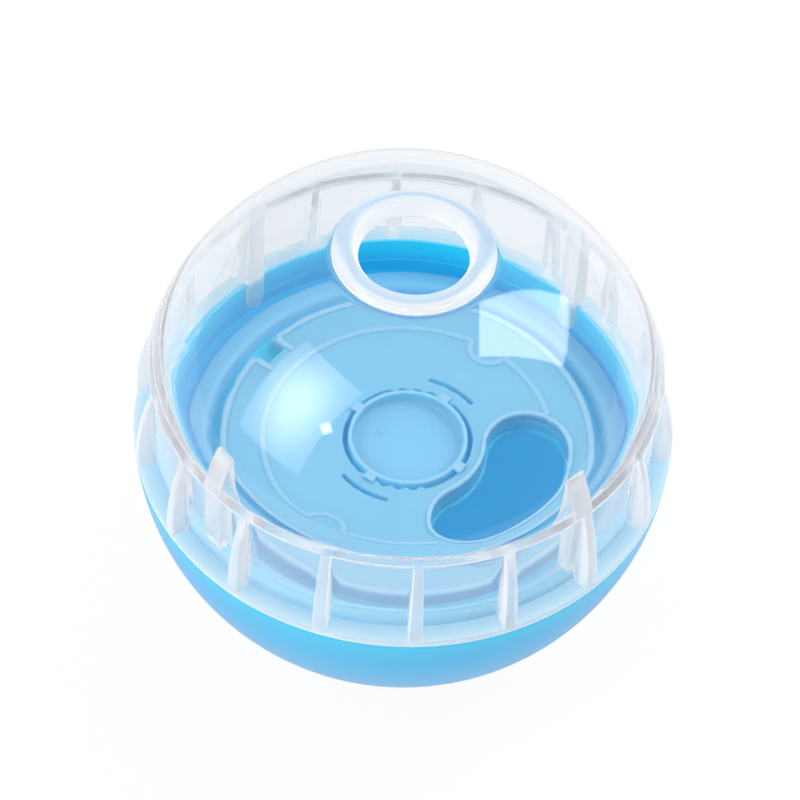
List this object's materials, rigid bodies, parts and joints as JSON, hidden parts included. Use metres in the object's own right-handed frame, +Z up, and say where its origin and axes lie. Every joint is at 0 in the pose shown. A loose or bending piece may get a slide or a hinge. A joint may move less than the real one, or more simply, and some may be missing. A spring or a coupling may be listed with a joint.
{
  "type": "pet treat ball",
  "caption": "Round treat dispenser for pets: a clear dome screws onto a coloured bowl over a divider plate whose dial opens or narrows a kidney-shaped chute.",
  "frame": {"origin": "middle of the small rest flat under the bowl", "axes": "+Z up along the ball's axis through the opening in the dome, -Y towards the camera of the picture"},
  "size_m": [0.11, 0.11, 0.1065],
  "materials": {
    "clear_plastic": "smooth, slightly milky clear plastic",
    "blue_plastic": "semi-gloss, slightly translucent moulded plastic",
    "plate_plastic": "semi-gloss moulded plastic"
  },
  "bodies": {
    "bowl": {"bowl": "blue_plastic", "bowl_neck": "blue_plastic"},
    "plate": {"divider_plate": "plate_plastic"},
    "dial": {"flow_dial": "plate_plastic"},
    "dome": {"clear_dome": "clear_plastic"}
  },
  "joints": [
    {"name": "dome_twist", "type": "hinge", "parent": "bowl", "child": "plate", "pos_m": [0, 0, 0.05], "axis": [0, 0, 1], "range_deg": [0, 55]},
    {"name": "dome_lift", "type": "slide", "parent": "plate", "child": "dome", "axis": [0, 0, 1], "range_m": [0, 0.06]},
    {"name": "dial_turn", "type": "hinge", "parent": "plate", "child": "dial", "pos_m": [0.0012, 0, 0.045], "axis": [0, 0, 1], "range_deg": [0, 40.5]}
  ]
}
